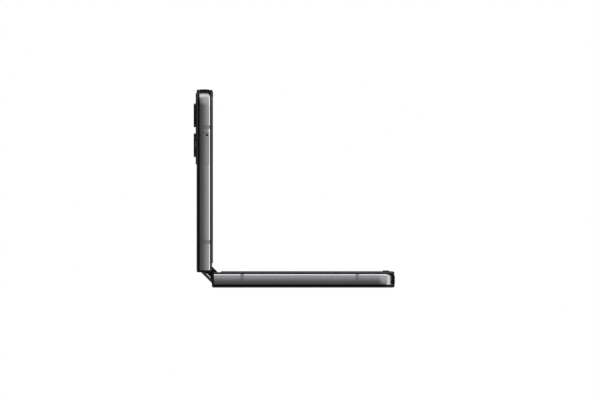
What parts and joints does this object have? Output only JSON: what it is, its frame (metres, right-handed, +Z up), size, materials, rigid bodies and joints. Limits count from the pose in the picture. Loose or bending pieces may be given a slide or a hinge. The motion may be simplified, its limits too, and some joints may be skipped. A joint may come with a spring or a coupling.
{
  "type": "foldable smartphone",
  "caption": "Clamshell foldable phone, half open: two metal-framed halves on a geared double hinge with one folding screen, side keys, a card tray and two rear cameras.",
  "frame": {"origin": "middle of the lower half's back, which the phone rests on", "axes": "+Z up, away from the surface it rests on; +X along the lower half from the hinge to its free end; Y across the width, along the hinge axes"},
  "size_m": [0.0908, 0.0724, 0.0895],
  "materials": {
    "frame_metal": "bead-blasted and anodised",
    "band_plastic": "moulded, satin",
    "back_glass": "frosted, dark grey behind",
    "seal_black": "black foam adhesive",
    "rim_plastic": "moulded, satin",
    "cap_plastic": "moulded, satin",
    "screen_glass": "glossy, black while off",
    "plate_steel": "rolled",
    "battery_wrap": "foil pouch",
    "coil_copper": "wound copper wire",
    "board_green": "solder mask",
    "socket_steel": "drawn steel",
    "tongue_plastic": "moulded",
    "module_plastic": "moulded",
    "motor_steel": "pressed steel can",
    "buffer_rubber": "soft rubber",
    "screw_steel": "machined",
    "hinge_steel": "metal injection moulded",
    "spine_metal": "polished and anodised",
    "gear_metal": "sintered",
    "window_glass": "glossy black glass",
    "camera_metal": "black anodised",
    "lens_glass": "coated, very dark",
    "lamp_plastic": "clear, ribbed",
    "key_metal": "anodised",
    "tray_metal": "anodised"
  },
  "bodies": {
    "lower_half": {"lower_frame": "frame_metal", "lower_antenna_bands": "band_plastic", "lower_back_glass": "back_glass", "lower_seal": "seal_black", "lower_rim": "rim_plastic", "lower_end_cap": "cap_plastic", "lower_screen": "screen_glass", "lower_screen_plate": "plate_steel", "lower_battery": "battery_wrap", "charging_coil": "coil_copper", "lower_board": "board_green", "charging_socket": "socket_steel", "socket_tongue": "tongue_plastic", "loudspeaker": "module_plastic", "vibration_motor": "motor_steel", "lower_buffers": "buffer_rubber", "lower_screws": "screw_steel", "lower_hinge_leaves": "hinge_steel"},
    "spine": {"spine_cover": "spine_metal", "spine_end_caps": "cap_plastic", "hinge_brackets": "hinge_steel", "gear_bracket": "hinge_steel", "gear_pins": "screw_steel", "friction_clips": "hinge_steel", "spine_screws": "screw_steel", "fold_support": "plate_steel", "screen_fold": "screen_glass"},
    "lower_arm": {"lower_gear_arm": "gear_metal"},
    "upper_arm": {"upper_gear_arm": "gear_metal"},
    "lower_idler": {"lower_idler_gear": "gear_metal"},
    "upper_idler": {"upper_idler_gear": "gear_metal"},
    "upper_half": {"upper_frame": "frame_metal", "upper_antenna_bands": "band_plastic", "upper_back_glass": "back_glass", "upper_seal": "seal_black", "upper_rim": "rim_plastic", "upper_end_cap": "cap_plastic", "upper_screen": "screen_glass", "upper_screen_plate": "plate_steel", "upper_battery": "battery_wrap", "main_board": "board_green", "board_shield": "plate_steel", "black_window": "window_glass", "cover_screen": "window_glass", "camera_rings": "camera_metal", "camera_lenses": "lens_glass", "camera_modules": "module_plastic", "lamp_lens": "lamp_plastic", "front_camera": "lens_glass", "earpiece": "module_plastic", "key_switches": "module_plastic", "card_reader": "plate_steel", "upper_buffers": "buffer_rubber", "upper_screws": "screw_steel", "upper_hinge_leaves": "hinge_steel"},
    "volume_button": {"volume_key": "key_metal"},
    "power_button": {"power_key": "key_metal"},
    "tray": {"card_tray": "tray_metal"}
  },
  "joints": [
    {"name": "lower_fold", "type": "hinge", "parent": "lower_half", "child": "spine", "pos_m": [-0.03956, 0, 0.00607], "axis": [0, -1, 0], "range_deg": [-45, 45], "deforming": ["screen_fold"]},
    {"name": "upper_fold", "type": "hinge", "parent": "spine", "child": "upper_half", "pos_m": [-0.04211, 0, 0.00862], "axis": [0, -1, 0], "range_deg": [-45, 45]},
    {"name": "lower_arm_turn", "type": "hinge", "parent": "spine", "child": "lower_arm", "pos_m": [-0.03956, 0, 0.00353], "axis": [0, -1, 0], "range_deg": [-45, 45]},
    {"name": "upper_arm_turn", "type": "hinge", "parent": "spine", "child": "upper_arm", "pos_m": [-0.04465, 0, 0.00862], "axis": [0, -1, 0], "range_deg": [-45, 45]},
    {"name": "lower_idler_turn", "type": "hinge", "parent": "spine", "child": "lower_idler", "pos_m": [-0.04126, 0, 0.00523], "axis": [0, -1, 0], "range_deg": [-45, 45]},
    {"name": "upper_idler_turn", "type": "hinge", "parent": "spine", "child": "upper_idler", "pos_m": [-0.04295, 0, 0.00692], "axis": [0, -1, 0], "range_deg": [-45, 45]},
    {"name": "volume_press", "type": "slide", "parent": "upper_half", "child": "volume_button", "axis": [0, -1, 0], "range_m": [0, 0.00025], "stiffness_N_per_m": 1000},
    {"name": "power_press", "type": "slide", "parent": "upper_half", "child": "power_button", "axis": [0, -1, 0], "range_m": [0, 0.00025], "stiffness_N_per_m": 1000},
    {"name": "tray_slide", "type": "slide", "parent": "upper_half", "child": "tray", "axis": [0, -1, 0], "range_m": [0, 0.0135]}
  ],
  "couplings": [
    {"joint": "upper_fold", "follows": "lower_fold", "ratio": 1},
    {"joint": "lower_arm_turn", "follows": "lower_fold", "ratio": -1},
    {"joint": "upper_arm_turn", "follows": "lower_fold", "ratio": 1},
    {"joint": "lower_idler_turn", "follows": "lower_fold", "ratio": 1},
    {"joint": "upper_idler_turn", "follows": "lower_fold", "ratio": -1}
  ]
}
